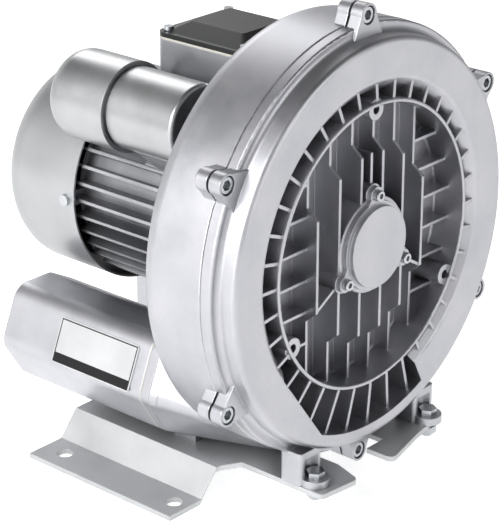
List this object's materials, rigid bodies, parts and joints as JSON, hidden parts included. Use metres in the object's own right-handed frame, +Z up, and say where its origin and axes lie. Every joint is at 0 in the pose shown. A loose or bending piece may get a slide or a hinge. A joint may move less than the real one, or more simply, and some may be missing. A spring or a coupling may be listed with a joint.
{
  "type": "side channel blower",
  "caption": "Side channel blower with a finned motor, a ribbed cast cover, a terminal box, a capacitor, two silencers and a bent foot plate.",
  "frame": {"origin": "centre of the foot plate's four fixing holes, on the floor", "axes": "+Z up, +Y along the shaft from the ribbed cover towards the motor and the ports, +X to the right seen from the cover's side"},
  "size_m": [0.326, 0.3306, 0.3685],
  "materials": {
    "cast_aluminium": "satin die casting",
    "motor_aluminium": "satin extrusion",
    "silencer_aluminium": "satin die casting",
    "impeller_aluminium": "machined casting",
    "cowl_sheet": "satin silver paint",
    "foot_sheet": "satin silver paint",
    "shell_sheet": "satin silver paint",
    "lid_plastic": "fine grained",
    "fan_plastic": "moulded",
    "block_plastic": "moulded",
    "gland_plastic": "moulded",
    "gasket_rubber": "pale moulded",
    "seal_rubber": "moulded",
    "foam": "open-cell foam",
    "screw_steel": "zinc plated",
    "shaft_steel": "ground",
    "bearing_steel": "polished",
    "lamination_steel": "stacked sheet",
    "winding_copper": "enamelled wire",
    "tube_steel": "perforated sheet",
    "plate_sheet": "bare printed plate"
  },
  "bodies": {
    "machine": {"front_cover": "cast_aluminium", "bearing_cap": "cast_aluminium", "bearing_cap_screws": "screw_steel", "front_bearing_outer": "bearing_steel", "preload_spring": "screw_steel", "front_shaft_seal": "seal_rubber", "rear_shaft_seal": "seal_rubber", "blower_casing": "cast_aluminium", "casing_screws": "screw_steel", "motor_housing": "motor_aluminium", "motor_screws": "screw_steel", "stator_core": "lamination_steel", "windings": "winding_copper", "rear_end_shield": "cast_aluminium", "rear_bearing_outer": "bearing_steel", "tie_bolts": "screw_steel", "fan_cowl": "cowl_sheet", "cowl_screws": "screw_steel", "terminal_box_base": "cast_aluminium", "terminal_box_gasket": "gasket_rubber", "terminal_box_lid": "lid_plastic", "terminal_lid_screws": "screw_steel", "terminal_block": "block_plastic", "cable_gland": "gland_plastic", "blanking_plug": "gland_plastic", "gland_nuts": "gland_plastic", "capacitor_front_shell": "shell_sheet", "capacitor_rear_shell": "shell_sheet", "run_capacitor": "shell_sheet", "capacitor_bracket": "cast_aluminium", "capacitor_screws": "screw_steel", "silencer_housing_left": "silencer_aluminium", "silencer_housing_right": "silencer_aluminium", "silencer_gasket_left": "gasket_rubber", "silencer_gasket_right": "gasket_rubber", "perforated_tube_left": "tube_steel", "perforated_tube_right": "tube_steel", "silencer_foam_left": "foam", "silencer_foam_right": "foam", "silencer_bolts": "screw_steel", "foot_plate": "foot_sheet", "foot_bolts": "screw_steel", "foot_nuts": "screw_steel", "foot_screws": "screw_steel", "rating_plate": "plate_sheet"},
    "rotor": {"shaft": "shaft_steel", "impeller": "impeller_aluminium", "impeller_key": "shaft_steel", "spacer_sleeve": "shaft_steel", "front_bearing_inner": "bearing_steel", "rear_bearing_inner": "bearing_steel", "rotor_core": "lamination_steel", "cooling_fan": "fan_plastic", "fan_clip": "screw_steel", "shaft_circlip": "screw_steel"}
  },
  "joints": [
    {"name": "rotor_spin", "type": "hinge", "parent": "machine", "child": "rotor", "pos_m": [0, -0.05, 0.19], "axis": [0, 1, 0], "continuous": true}
  ]
}
